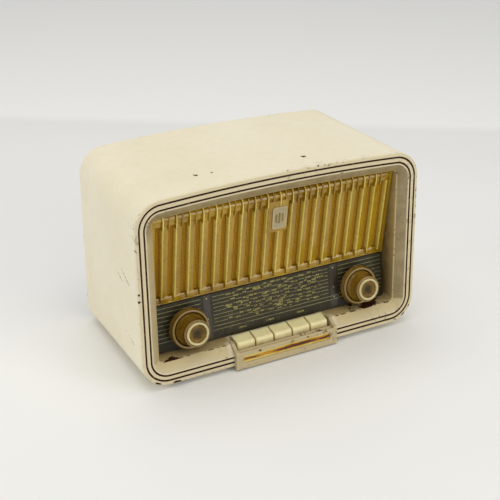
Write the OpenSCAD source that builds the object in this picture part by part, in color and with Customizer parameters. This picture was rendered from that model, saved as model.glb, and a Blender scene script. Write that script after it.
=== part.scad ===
// Tabletop valve radio, 1950s pattern: moulded cabinet, slanted loudspeaker grille,
// tilted dial with two double knobs and a row of five piano keys.
// Millimetres. X to the right seen from the front, Y to the rear, Z up.
// Origin: middle of the overall footprint, on the table under the feet.
// The front of the cabinet leans back a little, so the front pieces are drawn in three
// working frames: front() is the upright face of the cabinet, slope() is the plane of the
// grille inside it and dial() is the plane of the dial glass.

/* [Node] */
// Sub-part to draw

/* [Cabinet] */
// Width of the front frame
body_w = 294; // [240:1:340]
// Height of the front frame
body_h = 181.3; // [150:0.1:220]
// Rise of the crowned top from the corners to the middle
crown = 3.6; // [0:0.1:8]
// Width of the cabinet at the back
rear_w = 280; // [230:1:330]
// Y of the rear edge of the cabinet
rear_y = 79.5; // [60:0.5:100]
// Lean of the front face from upright, degrees
lean = 3; // [0:0.5:8]
// Cabinet wall thickness
wall = 3.5; // [2.5:0.1:6]
// Height of the rubber feet
foot_h = 4; // [2:0.5:10]

/* [Opening] */
// Width of the recessed opening
open_w = 255; // [200:1:280]
// Bottom of the opening in the front frame
open_b = 16; // [10:0.5:30]
// Top of the opening in the front frame
open_t = 156.5; // [120:0.5:165]

/* [Grille] */
// Number of upright ribs
ribs = 20; // [10:1:26]
// Distance between ribs
rib_pitch = 13.1; // [8:0.1:20]
// Width of one rib
rib_w = 7.4; // [3:0.1:12]

/* [Controls] */
// Distance of the knob axes from the middle
knob_x = 92.4; // [70:0.1:110]
// Radius of the large outer rings
ring_r = 19.5; // [17:0.5:22]
// Distance between keys
key_pitch = 20; // [15:0.5:25]
// Key travel, degrees
key_travel = 5.5; // [2:0.5:8]

/* [Dial drive] */
// Radius of the cord on the drum
drum_r = 38; // [25:1:45]
// Radius of the cord on the small pulleys
pulley_r = 6; // [5:0.5:9]

/* [Hidden] */
e = 0.01;
drop = 4.3;                 // frame bottom below the datum of the front frame
front_y = -75.4;            // foot of the front face
hw = body_w / 2;
rhw = rear_w / 2;
top_f = body_h - drop;      // top of the frame in front()
slope_a = 8.7;              // grille leans over the dial
dial_a = 6.8;               // dial faces slightly upward
mid_y = 31.8;               // depth of the line where grille and dial meet
mid_z = 62.5;
dial_y = 27;
dial_z = 15;
knob_z = 21.7;              // knob axis up the dial
glass_y = -5;               // face of the dial glass
badge_x = 3;
badge_z = 66.5;
top_inset = 1.07;           // how far the outer rings drop at the top for each mm inwards
fit = 0.05;                 // running clearance, radial
top_r = foot_h + 182;       // cabinet top at the back
plate_z = 50;               // top face of the chassis
cover_y = 74;               // seat of the back cover
spk_x = -45;
spk_z = 45;
drum_x = 48;
cord_y = 14;                // plane of the dial cord behind the glass
cord_r = 0.45;
idle_x = -72;
run_lo = knob_z - pulley_r;
run_hi = knob_z + pulley_r;
drum_z = run_hi + drum_r;
pivot_y = 66;               // key pivot in front()
pivot_z = 8;
valve_x = [-110, -82, -54, -26, 2];

// ---- frames and helpers ----
module front() translate([0, front_y, foot_h]) rotate([-lean, 0, 0]) translate([0, 0, drop]) children();
module slope() front() translate([0, mid_y, mid_z]) rotate([slope_a, 0, 0]) children();
module dial() front() translate([0, dial_y, dial_z]) rotate([-dial_a, 0, 0]) children();
// +Z points out of the dial along the knob axis, zero at the glass face
module axis(x, z = knob_z) dial() translate([x, 0, z]) rotate([90, 0, 0]) children();

function arc(cx, cz, r, a0, a1, n) =
  [for (i = [0 : n]) let (a = a0 + (a1 - a0) * i / n) [cx + r * cos(a), cz + r * sin(a)]];
// rounded outline with a crowned top edge
function outline(w, zb, zt, rt, rb, sag, n = 6) = concat(
  arc(w - rb, zb + rb, rb, -90, 0, n),
  arc(w - rt, zt - sag - rt, rt, 0, 90, n),
  [for (i = [1 : 9]) let (x = (w - rt) * (1 - i / 5)) [x, zt - sag * pow(x / (w - rt), 2)]],
  arc(rt - w, zt - sag - rt, rt, 90, 180, n),
  arc(rb - w, zb + rb, rb, 180, 270, n));
module slab(pts, y0, y1) translate([0, y1, 0]) rotate([90, 0, 0]) linear_extrude(y1 - y0) polygon(pts);
module box(x0, x1, y0, y1, z0, z1) translate([x0, y0, z0]) cube([x1 - x0, y1 - y0, z1 - z0]);
// profile in Y and Z drawn along X
module along_x(x0, x1, pts) translate([x0, 0, 0]) rotate([90, 0, 90]) linear_extrude(x1 - x0) polygon(pts);
module rod(r, z0, z1) translate([0, 0, z0]) cylinder(r = r, h = z1 - z0, $fn = 48);
// rod along Y from y0 to y1
module rod_y(r, y0, y1) translate([0, y1, 0]) rotate([90, 0, 0]) cylinder(r = r, h = y1 - y0, $fn = 48);
module rod_x(r, x0, x1) translate([x0, 0, 0]) rotate([0, 90, 0]) cylinder(r = r, h = x1 - x0, $fn = 48);
module spin(pts) rotate_extrude($fn = 96) polygon(pts);
module tube_clip(g) front() slab(outline(open_w / 2 - g, open_b + g, open_t - g, 4, 4, 3), -5, 70);

// ---- cabinet ----
module body_solid(g, y0, y1) {
  r = 26 - g;
  hull() {
    front() slab(outline(hw - g, g - drop, top_f - g, r, r, crown), y0, y0 + 0.4);
    slab(outline(rhw - g, foot_h + g, top_r - g, r, max(14 - g, 2), 3.2), y1 - 0.4, y1);
  }
}
module groove(w) {
  inset = hw - w;
  r = 26 - inset;
  front() slab(outline(w, inset - drop + 0.8, top_f - top_inset * inset, r, r, crown), -1, 0.6);
}
module cabinet() color([0.90, 0.88, 0.79]) {
  ow = open_w / 2;
  difference() {
    union() {
      difference() {
        body_solid(0, 0, rear_y);
        body_solid(wall, 4, rear_y + 1);
      }
      // back of the bevel and the short return around the opening
      hull() {
        front() slab(outline(141, 0, 171.5, 19, 19, crown), 3.5, 3.9);
        front() slab(outline(ow + 3.5, open_b - 3, open_t + 3.5, 7, 6, 3), 11, 11.4);
      }
      front() slab(outline(ow + 3, open_b - 2.7, open_t + 3, 7, 6, 3), 11, 36);
      // posts for the back screws
      for (s = [-1, 1], z = [26, 150])
        box(s < 0 ? -138.2 : 129.5, s < 0 ? -129.5 : 138.2, 58, cover_y + 0.1, z - 5, z + 5);
      // posts that carry the chassis
      for (x = [-112, 66], y = [-1, 56]) box(x - 6, x + 6, y - 6, y + 6, foot_h + 1, 21.9);
    }
    // sloped inner bevel, then straight back
    hull() {
      front() slab(outline(136.5, 6.9, 165.8, 16, 15, crown), -0.3, -0.1);
      front() slab(outline(ow - 0.3, open_b + 0.3, open_t - 0.3, 4, 4, 3), 7.6, 7.9);
    }
    front() slab(outline(ow, open_b, open_t, 4, 4, 3), 7.5, 60);
    // the two narrow grooves round the frame
    difference() { groove(143.5); front() slab(outline(142, 1.5, 171.7, 21, 21, crown), -2, 2); }
    difference() { groove(139); front() slab(outline(137.6, 5.8, 166.9, 17, 17, crown), -2, 2); }
    // room for the piano keys and the ends of their surround
    front() box(-55.4, 55.4, -1, 13, -0.5, 18);
    front() box(-51.5, 51.5, 12, 22, -0.5, 18);
    // seat for the back cover
    hull() {
      slab(outline(rhw - 1.8, foot_h + 1.8, top_r - 1.8, 24, 12, 3.2), cover_y, cover_y + 0.2);
      slab(outline(rhw - 1.6, foot_h + 1.8, top_r - 1.8, 24, 12, 3.2), rear_y + 1, rear_y + 1.2);
    }
    for (x = [-134, 134], z = [26, 150]) translate([x, 0, z]) rod_y(1.55, 62, 90);
    // chassis screw holes and foot holes in the bottom
    for (x = [-112, 66], y = [-1, 56]) translate([x, y, 0]) {
      rod(2.1, 0, 30);
      rod(4.6, foot_h - 1, foot_h + 2.4);
    }
    for (x = [-116, 116], y = [-52, 62]) translate([x, y, 0]) rod(3.05, 0, 20);
  }
}
module feet() color([0.10, 0.10, 0.10])
  for (x = [-116, 116], y = [-52, 62]) translate([x, y, 0])
    spin([[0, 0], [8.4, 0], [9, 0.6], [9, foot_h - 0.7], [8.6, foot_h - 0.15], [3, foot_h - 0.15],
      [3, 9.5], [0, 9.5]]);

// ---- grille, cloth and baffle ----
module speaker_grille() color([0.66, 0.55, 0.25, 0.85]) intersection() {
  tube_clip(0.25);
  slope() {
    w = 127.4;
    // bottom flange with a raised lip
    box(-w, w, -2.2, 0, 0.8, 6.5);
    box(-w, w, -4.2, -2, 0.8, 2.2);
    // header
    box(-w, w, -3.2, 0, 80, 90);
    box(-w, w, -4.4, -3, 86.5, 88);
    for (i = [0 : ribs - 1]) {
      x = (i - (ribs - 1) / 2) * rib_pitch;
      // rib with one flank thicker than the other
      translate([x, 0, 3]) linear_extrude(80)
        polygon([[-rib_w / 2, 0], [rib_w / 2, 0], [rib_w / 2 - 0.8, -3.2], [-rib_w / 2 + 0.5, -5]]);
      // hooked end over the header and foot on the flange
      box(x - rib_w / 2, x - rib_w / 2 + 1.4, -6.4, -1, 78, 92);
      box(x + rib_w / 2 - 1.4, x + rib_w / 2, -5.2, -1, 84, 92);
      box(x - rib_w / 2, x + rib_w / 2, -4.6, -1, 1.5, 7);
    }
    // solid panel behind the badge
    box(badge_x - 12.5, badge_x + 9.5, -5.6, 0, 52, 84);
    // side stiles
    box(-w, -w + 3, -5, 0, 0.8, 92);
    box(w - 3, w, -5, 0, 0.8, 92);
  }
}
module grille_cloth() color([0.72, 0.48, 0.10]) intersection() {
  tube_clip(0.3);
  slope() box(-127.4, 127.4, 0.1, 0.9, 0.6, 110);
}
module baffle_board() color([0.50, 0.38, 0.24]) intersection() {
  tube_clip(0.35);
  slope() difference() {
    box(-127.2, 127.2, 1, 6.4, 0.4, 110);
    translate([spk_x, 0, spk_z]) rod_y(41, 0, 10);
    for (x = [-1, 1], z = [-1, 1]) translate([spk_x + x * 40, 0, spk_z + z * 36]) rod_y(1.6, 0, 10);
  }
}
module plaque(hx, hz, r, y0, y1) slab(outline(hx, -hz, hz, r, r, 0), y0, y1);
module badge() color([0.86, 0.82, 0.66]) slope() translate([badge_x, -5.65, badge_z]) {
  difference() {
    plaque(7.5, 11.3, 2.5, -1, 0);
    plaque(6.4, 10.2, 1.6, -2, -0.55);
  }
  for (i = [-1 : 1]) box(3.4 * i - 0.8, 3.4 * i + 0.8, -1.05, -0.5, -4.6, 4.6);
}

// ---- dial ----
module dial_glass() color([0.22, 0.22, 0.17, 0.9]) intersection() {
  tube_clip(0.3);
  dial() difference() {
    box(-127.2, 127.2, glass_y, glass_y + 3, 0.8, 46.4);
    for (s = [-1, 1]) translate([s * knob_x, glass_y, knob_z]) rod_y(6.6, -1, 4);
  }
}
module dial_backplate() color([0.75, 0.76, 0.74]) dial() difference() {
  union() {
    box(-126.6, 126.6, 8, 9.2, 4, 39.5);
    // side arms back to the chassis
    for (s = [-1, 1]) box(s < 0 ? -126.6 : 125.4, s < 0 ? -125.4 : 126.6, 8.5, 30, 6, 36);
    // bush for the tuning sleeve and stud for the idler
    translate([knob_x, 0, knob_z]) rod_y(7.4, 8.5, 11.2);
    translate([idle_x, 0, knob_z]) rod_y(1.5, 8.5, 17.2);
    translate([idle_x, 0, knob_z]) rod_y(3, 8.5, 11.2);
  }
  translate([knob_x, 0, knob_z]) rod_y(5 + fit, 0, 20);
  translate([-knob_x, 0, knob_z]) rod_y(6 + fit, 0, 20);
  box(-66, 66, 7, 10, run_lo - 2, run_lo + 2);
}
module dial_pointer() color([0.85, 0.20, 0.12]) dial() difference() {
  union() {
    box(-0.45, 0.45, 4.6, 5.4, 3.5, 39);
    box(-1.6, 1.6, 5, 15.6, run_lo - 1.3, run_lo + 1.3);
  }
  translate([0, cord_y + 0.4, run_lo]) rod_x(cord_r + 0.1, -5, 5);
}
module dial_lamps() color([0.95, 0.90, 0.70]) dial()
  for (s = [-1, 1]) translate([s * 108, 5.6, 35]) {
    rod_x(2.1, -6.5, 6.5);
    for (t = [-1, 1]) box(t * 7.2 - 0.7, t * 7.2 + 0.7, -2.2, 2.3, -2.4, 2.4);
  }

// ---- piano keys ----
// rest profile of a key cap in front(): rounded nose, top rising to the rear
cap_side = concat([[18.4, 6.5], [18.4, 18.0]], arc(17.4, 17.85, 1, 0, 104, 5),
  arc(6.9, 14.1, 2.1, 104, 186, 6), [[4.1, 6.5]]);
module keycap(i) color([0.92, 0.85, 0.62]) front() {
  x = (i - 3) * key_pitch;
  difference() {
    along_x(x - 9.6, x + 9.6, cap_side);
    along_x(x - 8.2, x - 1.6, [[6.2, 6], [16.8, 6], [16.8, 14.5], [6.2, 12]]);
    along_x(x + 1.6, x + 8.2, [[6.2, 6], [16.8, 6], [16.8, 14.5], [6.2, 12]]);
    along_x(x - 1.25, x + 1.25, [[7, 6], [19, 6], [19, 12.1], [7, 12.1]]);
  }
}
module key_lever(i) color([0.70, 0.71, 0.73]) front() {
  x = (i - 3) * key_pitch;
  difference() {
    union() {
      along_x(x - 1.2, x + 1.2, [[7.2, 7], [17, 7], [22, 5.6], [pivot_y, 5.6], [pivot_y, 11],
        [20, 11], [18, 12], [7.2, 12]]);
      translate([0, pivot_y, pivot_z]) rod_x(3.8, x - 3.2, x + 3.2);
      // tail that works the switch slider
      along_x(x - 1.2, x + 1.2, [[pivot_y, 6.2], [78, 7.2], [78, 10.2], [pivot_y, 10.4]]);
    }
    translate([0, pivot_y, pivot_z]) rod_x(2 + fit, x - 5, x + 5);
  }
}
module key_shaft() color([0.78, 0.79, 0.80]) front() translate([0, pivot_y, pivot_z]) rod_x(2, -57.5, 57.5);
module key_frame() color([0.62, 0.60, 0.52]) difference() {
  union() {
    box(-56, 56, -33, 14, foot_h + 3.65, foot_h + 4.6);
    for (s = [-1, 1]) box(s * 55 - 1, s * 55 + 1, -33, 14, foot_h + 3.65, 21);
    // contact banks behind the levers, one per key, with the return springs inside
    for (i = [-2 : 2]) box(i * key_pitch - 8, i * key_pitch + 8, 6, 13.5, foot_h + 4, 26);
  }
  front() translate([0, pivot_y, pivot_z]) rod_x(2 + fit / 2, -60, 60);
}

// ---- key surround ----
module escutcheon() color([0.80, 0.77, 0.62]) front() difference() {
  union() {
    box(-55.2, 55.2, -4, -0.1, -7, 9.6);
    along_x(-51.2, 51.2, [[-4, 5], [-4, 9.6], [-3.2, 10.2], [2.8, 10.2], [2.8, 5]]);
    for (s = [-1, 1]) along_x(s < 0 ? -55.2 : 51.7, s < 0 ? -51.7 : 55.2,
      [[-4, -7], [-4, 9.6], [-3, 10.8], [1, 12.6], [6, 16.8], [12.6, 17.2], [12.6, 9], [6, 0.2],
        [-0.1, 0.2], [-0.1, -7]]);
  }
  // long recess for the coloured strip, and a shallow tray along the top
  box(-47.4, 47.4, -5, -2.4, -1.2, 6.4);
  box(-50.6, 50.6, -2.9, 1.6, 8.8, 12);
}
module escutcheon_strip() color([0.80, 0.62, 0.20]) front() difference() {
  box(-47.2, 47.2, -3.5, -2.45, -1.0, 6.2);
  box(-44, 44, -4, -3.1, 1.2, 4);
}

// ---- knobs ----
module ring_shape() spin([[5 + fit, 8.4], [5 + fit, 14.2], [15.9, 14.2], [16.1, 16.6], [16.7, 17.3],
  [17.7, 17.4], [ring_r - 0.9, 16.8], [ring_r - 0.7, 15.2], [ring_r - 0.25, 14.6], [ring_r, 13.8],
  [ring_r, 12], [ring_r - 1.2, 9.8], [15.2, 8.4]]);
module knob_shape() spin([[3.12, 15], [13.8, 15], [15.2, 15.6], [15.3, 16.6], [13.6, 18.8], [12.7, 22],
  [12.4, 26], [12.8, 29.2], [12.9, 30.2], [12.4, 30.9], [11, 31], [11, 29.3], [0, 29.3], [0, 27.4],
  [3.12, 27.4]]);
module insert_shape() spin([[0, 29.4], [10.9, 29.4], [10.9, 31.8], [10.3, 32.4], [9.3, 32.4], [8.5, 31.7],
  [7.9, 30.9], [4, 30.4], [0, 30.2]]);
module shaft_shape(rear) difference() {
  rod(3.05, rear, 27.3);
  // flat for the knob clip
  translate([2.2, -4, 17]) cube([3, 8, 12]);
}
module sleeve_shape(rear) difference() {
  rod(5, rear, 14);
  rod(3.1, rear - 1, 15);
}
module volume_knob() color([0.62, 0.48, 0.20]) axis(-knob_x) knob_shape();
module volume_insert() color([0.88, 0.83, 0.62]) axis(-knob_x) insert_shape();
module volume_shaft() color([0.75, 0.75, 0.77]) axis(-knob_x) shaft_shape(-30);
module tone_ring() color([0.58, 0.45, 0.18]) axis(-knob_x) ring_shape();
module tone_sleeve() color([0.78, 0.66, 0.36]) axis(-knob_x) sleeve_shape(-18);
module fm_knob() color([0.62, 0.48, 0.20]) axis(knob_x) knob_shape();
module fm_insert() color([0.88, 0.83, 0.62]) axis(knob_x) insert_shape();
module fm_shaft() color([0.75, 0.75, 0.77]) axis(knob_x) shaft_shape(-30);
module tuning_ring() color([0.58, 0.45, 0.18]) axis(knob_x) ring_shape();
module tuning_sleeve() color([0.78, 0.66, 0.36]) axis(knob_x) difference() {
  union() {
    rod(5, -17.4, 14);
    translate([0, 0, -cord_y]) pulley_shape(4.9);
  }
  rod(3.1, -20, 15);
}
// grooved wheel, groove floor just under the cord
module pulley_shape(bore) spin([[bore, -2.4], [pulley_r + 1.3, -2.4], [pulley_r + 1.3, -1.6],
  [pulley_r - 0.55, -1.2], [pulley_r - 0.55, 1.2], [pulley_r + 1.3, 1.6], [pulley_r + 1.3, 2.4],
    [bore, 2.4]]);
module dual_control() color([0.45, 0.42, 0.36]) axis(-knob_x) difference() {
  union() {
    rod(6, -10, -3.6);
    rod(12, -20.6, -9.4);
    rod(12, -33, -21.4);
    rod(5, -22, -20);
    // tags of the two tracks
    for (z = [-16, -28], a = [-30, 0, 30]) rotate([0, 0, a]) translate([-1, -18, z]) cube([2, 8, 0.8]);
  }
  rod(5 + fit, -19, 0);
  rod(3.1, -31, 0);
}
module fm_tuner() color([0.72, 0.73, 0.72]) dial() difference() {
  union() {
    box(78, 120, 21, 52, 4, 40);
    // trimmers on top and the lugs on the side
    for (y = [28, 38, 46]) translate([108, y, 39]) rod(3, 0, 5);
    box(74.1, 78.5, 38, 48, 22, 23.2);
  }
  box(79.2, 118.8, 22.2, 50.8, 5.2, 38.8);
  translate([knob_x, 0, knob_z]) rod_y(3.1, 20, 32);
  for (y = [28, 38, 46]) translate([108, y, 40.5]) rod(1.4, 0, 8);
}

// ---- tuning capacitor and cord drive ----
module plate_at(y, r, a) translate([drum_x, y, drum_z]) rotate([0, a, 0]) difference() {
  rod_y(r, -0.4, 0.4);
  translate([-30, -2, -30]) cube([60, 4, 30]);
  rod_y(5.2, -1, 1);
}
module capacitor_frame() color([0.78, 0.78, 0.76]) {
  dial() difference() {
    union() {
      for (y = [19.5, 51]) box(drum_x - 21, drum_x + 21, y, y + 1.5, drum_z - 21.5, drum_z + 14);
      box(drum_x - 21, drum_x + 21, 19.5, 52.5, drum_z - 21.5, drum_z - 20.2);
      for (k = [0 : 8]) plate_at(24.6 + 3 * k, 19.5, 180);
      for (x = [-14, 14]) translate([drum_x + x, 0, drum_z - 14]) rod_y(1.5, 19.6, 52.4);
    }
    translate([drum_x, 0, drum_z]) rod_y(3 + fit, 10, 60);
  }
  // two bracket cheeks down to the chassis
  for (x = [drum_x - 20, drum_x + 18])
    along_x(x, x + 2, [[-13.6, 61.6], [11.6, 57.2], [15, 50.05], [-7, 50.05]]);
}
module capacitor_rotor() color([0.82, 0.82, 0.80]) dial() {
  translate([drum_x, 0, drum_z]) rod_y(3, 11.8, 54.5);
  for (k = [0 : 7]) translate([drum_x, 26.1 + 3 * k, drum_z]) rotate([0, 90, 0]) difference() {
    rod_y(17, -0.4, 0.4);
    translate([-30, -2, -30]) cube([60, 4, 30]);
    rod_y(2.9, -1, 1);
  }
  translate([drum_x, 0, drum_z]) rod_y(4.5, 25.2, 48);
}
module cord_drum() color([0.55, 0.42, 0.28]) dial() translate([drum_x, cord_y, drum_z]) difference() {
  rotate([90, 0, 0]) spin([[3 + fit / 2, -2.4], [8, -2.4], [8, -1], [drum_r - 5, -1], [drum_r - 5, -2.4],
    [drum_r + 1.4, -2.4], [drum_r + 1.4, -1.6], [drum_r - 0.55, -1.3], [drum_r - 0.55, 1.3],
    [drum_r + 1.4, 1.6], [drum_r + 1.4, 2.4], [drum_r - 5, 2.4], [drum_r - 5, 1], [8, 1], [8, 2.4],
      [3 + fit / 2, 2.4]]);
  for (a = [0 : 60 : 359]) rotate([0, a, 0]) translate([20, 0, 0]) rod_y(7, -5, 5);
}
module idler_pulley() color([0.80, 0.74, 0.60]) axis(idle_x) translate([0, 0, -cord_y])
  pulley_shape(1.5 + fit);
// part of a ring of cord in the drive plane, from a0 to a1 degrees
module cord_arc(x, z, r, a0, a1, y) dial() translate([x, y, z]) rotate([90, 0, 0]) rotate([0, 0, a0])
  rotate_extrude(angle = a1 - a0, $fn = 96) translate([r, 0]) circle(r = cord_r, $fn = 24);
module cord_run(x0, z0, x1, z1, y) dial() translate([x0, y, z0])
  rotate([0, 90 - atan2(z1 - z0, x1 - x0), 0]) cylinder(r = cord_r, h = norm([x1 - x0, z1 - z0]), $fn = 24);
module dial_cord() color([0.70, 0.66, 0.52]) {
  ya = cord_y + 0.4;
  yb = cord_y - 0.4;
  // crossed run between drum and tuning pulley
  dx = knob_x - drum_x;
  dz = knob_z - drum_z;
  d = norm([dx, dz]);
  dir = atan2(dz, dx);
  off = acos((drum_r + pulley_r) / d);
  ad = dir - off;              // leaves the drum
  ap = ad + 180;               // meets the pulley
  cord_arc(idle_x, knob_z, pulley_r, 90, 270, ya);
  cord_run(idle_x, run_lo, knob_x, run_lo, ya);
  cord_run(idle_x, run_hi, drum_x, run_hi, ya);
  cord_arc(drum_x, drum_z, drum_r, -90, 90, ya);
  cord_arc(drum_x, drum_z, drum_r, 90, 360 + ad, yb);
  cord_run(drum_x + drum_r * cos(ad), drum_z + drum_r * sin(ad),
    knob_x + pulley_r * cos(ap), knob_z + pulley_r * sin(ap), yb);
  cord_arc(knob_x, knob_z, pulley_r, -90, ap > 180 ? ap - 360 : ap, yb);
}

// ---- chassis and what stands on it ----
module chassis() color([0.66, 0.68, 0.70]) difference() {
  union() {
    box(-124, 74, -8, 66, plate_z - 1.2, plate_z);
    box(-124, 74, -8, -6.8, 22, plate_z);
    box(-124, 74, 64.8, 66, 22, plate_z);
    box(-124, -122.8, -8, 66, 22, plate_z);
    box(72.8, 74, -8, 66, 22, plate_z);
    for (x = [-112, 66], y = [-1, 56]) box(x - 8, x + 8, y - 6, y + 9, 22, 23.2);
  }
  for (x = valve_x) translate([x, 44, 0]) rod(9.6, plate_z - 5, plate_z + 5);
  for (x = [-75, -36]) translate([x, 12, 0]) rod(6, plate_z - 5, plate_z + 5);
  for (x = [-112, 66], y = [-1, 56]) translate([x, y, 0]) rod(2.1, 20, 30);
}
module chassis_screws() color([0.72, 0.70, 0.62]) for (x = [-112, 66], y = [-1, 56]) translate([x, y, 0]) {
  difference() {
    rod(4.2, foot_h + 0.2, foot_h + 2.3);
    translate([-5, -0.5, 0]) cube([10, 1, foot_h + 1]);
  }
  rod(2, foot_h + 2.2, 26);
  translate([0, 0, 23.3]) cylinder(r = 3.8, h = 2.4, $fn = 6);
}
module valve(i) color([0.82, 0.88, 0.88, 0.6]) translate([valve_x[i - 1], 44, 0]) {
  h = [46, 50, 48, 58, 54][i - 1];
  z = plate_z + 3.4;
  spin([[0, z], [10.2, z], [10.9, z + 1], [10.9, z + h - 12], [9.6, z + h - 6], [6, z + h - 2.4],
    [2, z + h - 1.4],
    [1.2, z + h], [0, z + h]]);
  for (a = [0 : 36 : 290]) rotate([0, 0, a]) translate([6, 0, 0]) rod(0.5, z - 6.5, z + 0.5);
}
module valve_sockets() color([0.82, 0.80, 0.74]) for (x = valve_x) translate([x, 44, 0]) difference() {
  union() {
    rod(9.4, plate_z - 8, plate_z + 2.4);
    rod(11.5, plate_z + 0.1, plate_z + 3.2);
  }
  rod(3, plate_z - 9, plate_z + 4);
  for (a = [0 : 36 : 290]) rotate([0, 0, a]) translate([6, 0, 0]) rod(0.7, plate_z - 6, plate_z + 4);
}
module if_can(x) color([0.84, 0.85, 0.86]) translate([x, 12, plate_z + 0.1]) difference() {
  union() {
    box(-12, 12, -12, 12, 0, 38);
    box(-16, 16, -4, 4, 0, 1.2);
  }
  box(-11.2, 11.2, -11.2, 11.2, -1, 37.2);
  for (y = [-5, 5]) translate([0, y, 0]) rod(2.4, 30, 40);
}
module filter_capacitor() color([0.80, 0.81, 0.82]) translate([-108, 8, 0]) {
  spin([[0, plate_z + 0.1], [14, plate_z + 0.1], [14, plate_z + 2], [12, plate_z + 2], [12, plate_z + 56],
    [11, plate_z + 57], [0, plate_z + 57]]);
}
module transformer(w, d, h) {
  box(-w / 2, w / 2, -d / 4, d / 4, 0, h);
  for (s = [-1, 1]) box(-w / 3.4, w / 3.4, s < 0 ? -d / 2 : d / 4 - e, s < 0 ? -d / 4 + e : d / 2,
    h / 5, h - h / 5);
  box(-w / 2 - 5, w / 2 + 5, -d / 4, d / 4, 0, 1.6);
}
module mains_transformer() color([0.35, 0.33, 0.30]) translate([46, 43, plate_z + 0.1])
  transformer(44, 40, 42);
module output_transformer() color([0.40, 0.36, 0.30]) translate([2, 8, plate_z + 0.1])
  transformer(28, 28, 27);

// ---- loudspeaker ----
module spk() slope() translate([spk_x, 0, spk_z]) rotate([-90, 0, 0]) children();
module speaker_basket() color([0.36, 0.37, 0.36]) spk() difference() {
  spin([[39.6, 6.6], [47.5, 6.6], [47.5, 8], [41.4, 8], [41.4, 12], [24, 28], [24, 31], [11.2, 31],
    [11.2, 29.6],
    [22.6, 29.6], [22.6, 27.4], [39.6, 11.2]]);
  for (a = [45 : 90 : 359]) rotate([0, 0, a]) translate([32, 0, 20]) rotate([0, 45, 0])
    cube([12, 26, 16], center = true);
  for (x = [-1, 1], z = [-1, 1]) translate([x * 33, z * 30, 0]) rod(1.6, 5, 10);
}
module speaker_magnet() color([0.42, 0.42, 0.44]) spk() difference() {
  union() {
    rod(19, 31.1, 33.4);
    rod(16.5, 33.3, 44);
    rod(18, 43.9, 46.4);
  }
  difference() { rod(10.7, 30, 41); rod(8.4, 29, 42); }
}
module speaker_cone() color([0.16, 0.15, 0.14]) spk() {
  spin([[9.1, 25.4], [9.9, 26.2], [36.6, 9.2], [38.8, 9.2], [38.8, 8.2], [36.2, 8.2], [9.6, 25.0],
    [7.6, 22.4],
    [4, 21], [0, 20.4], [0, 21.1], [3.6, 21.7], [7.0, 22.9]]);
  difference() { rod(9.9, 25.5, 37); rod(9.2, 24, 38); }
}

// ---- back ----
module socket_strip() color([0.30, 0.20, 0.14]) difference() {
  union() {
    box(-70, -6, 66.1, 70, 28, 44);
    for (x = [-62 : 12 : -14]) translate([x, 0, 36]) rod_y(4, 69, 72);
  }
  for (x = [-62 : 12 : -14]) translate([x, 0, 36]) rod_y(2, 67, 80);
}
module back_cover() color([0.48, 0.34, 0.22]) difference() {
  slab(outline(rhw - 2.1, foot_h + 2.1, top_r - 2.1, 23.5, 11.5, 3.2), cover_y + 0.05, cover_y + 3);
  // three rows of upright vent slots
  for (i = [-9 : 9], z = [86, 114, 142]) translate([i * 12, cover_y, z]) {
    box(-1.8, 1.8, -5, 8, -9, 9);
    for (s = [-9, 9]) translate([0, 0, s]) rod_y(1.8, -5, 8);
  }
  for (i = [-4 : 4]) translate([i * 12 + 60, cover_y, 62]) rod_y(3, -5, 8);
  // windows for the sockets and the mains lead
  box(-72, -4, 60, 90, 27, 45);
  translate([100, 0, 24]) rod_y(5, 60, 90);
  for (x = [-134, 134], z = [26, 150]) translate([x, 0, z]) rod_y(1.8, 60, 90);
}
module back_screws() color([0.76, 0.72, 0.60]) for (x = [-134, 134], z = [26, 150]) translate([x, 0, z])
  difference() {
    rotate([-90, 0, 0]) spin([[0, 64], [1.5, 65], [1.5, cover_y + 3.05], [4, cover_y + 3.05],
      [3.6, cover_y + 4.2],
      [2.4, cover_y + 4.8], [0, cover_y + 4.8]]);
    box(-4, 4, cover_y + 4, 90, -0.45, 0.45);
  }

cabinet();
speaker_grille();
grille_cloth();
baffle_board();
badge();
dial_glass();
dial_backplate();
dial_pointer();
dial_lamps();
keycap(1);  // keycap_1
keycap(2);  // keycap_2
keycap(3);  // keycap_3
keycap(4);  // keycap_4
keycap(5);  // keycap_5
key_lever(1);  // key_lever_1
key_lever(2);  // key_lever_2
key_lever(3);  // key_lever_3
key_lever(4);  // key_lever_4
key_lever(5);  // key_lever_5
key_frame();
key_shaft();
escutcheon();
escutcheon_strip();
volume_knob();
volume_insert();
volume_shaft();
tone_ring();
tone_sleeve();
dual_control();
fm_knob();
fm_insert();
fm_shaft();
tuning_ring();
tuning_sleeve();
fm_tuner();
capacitor_frame();
capacitor_rotor();
cord_drum();
idler_pulley();
dial_cord();
chassis();
chassis_screws();
valve(1);  // valve_1
valve(2);  // valve_2
valve(3);  // valve_3
valve(4);  // valve_4
valve(5);  // valve_5
valve_sockets();
if_can(-75);  // if_can_1
if_can(-36);  // if_can_2
filter_capacitor();
mains_transformer();
output_transformer();
speaker_basket();
speaker_magnet();
speaker_cone();
socket_strip();
back_cover();
back_screws();
feet();
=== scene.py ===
"""Looks of the tabletop valve radio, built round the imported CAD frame."""
import math
import random

import bmesh
import bpy
from mathutils import Matrix, Vector, noise


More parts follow.
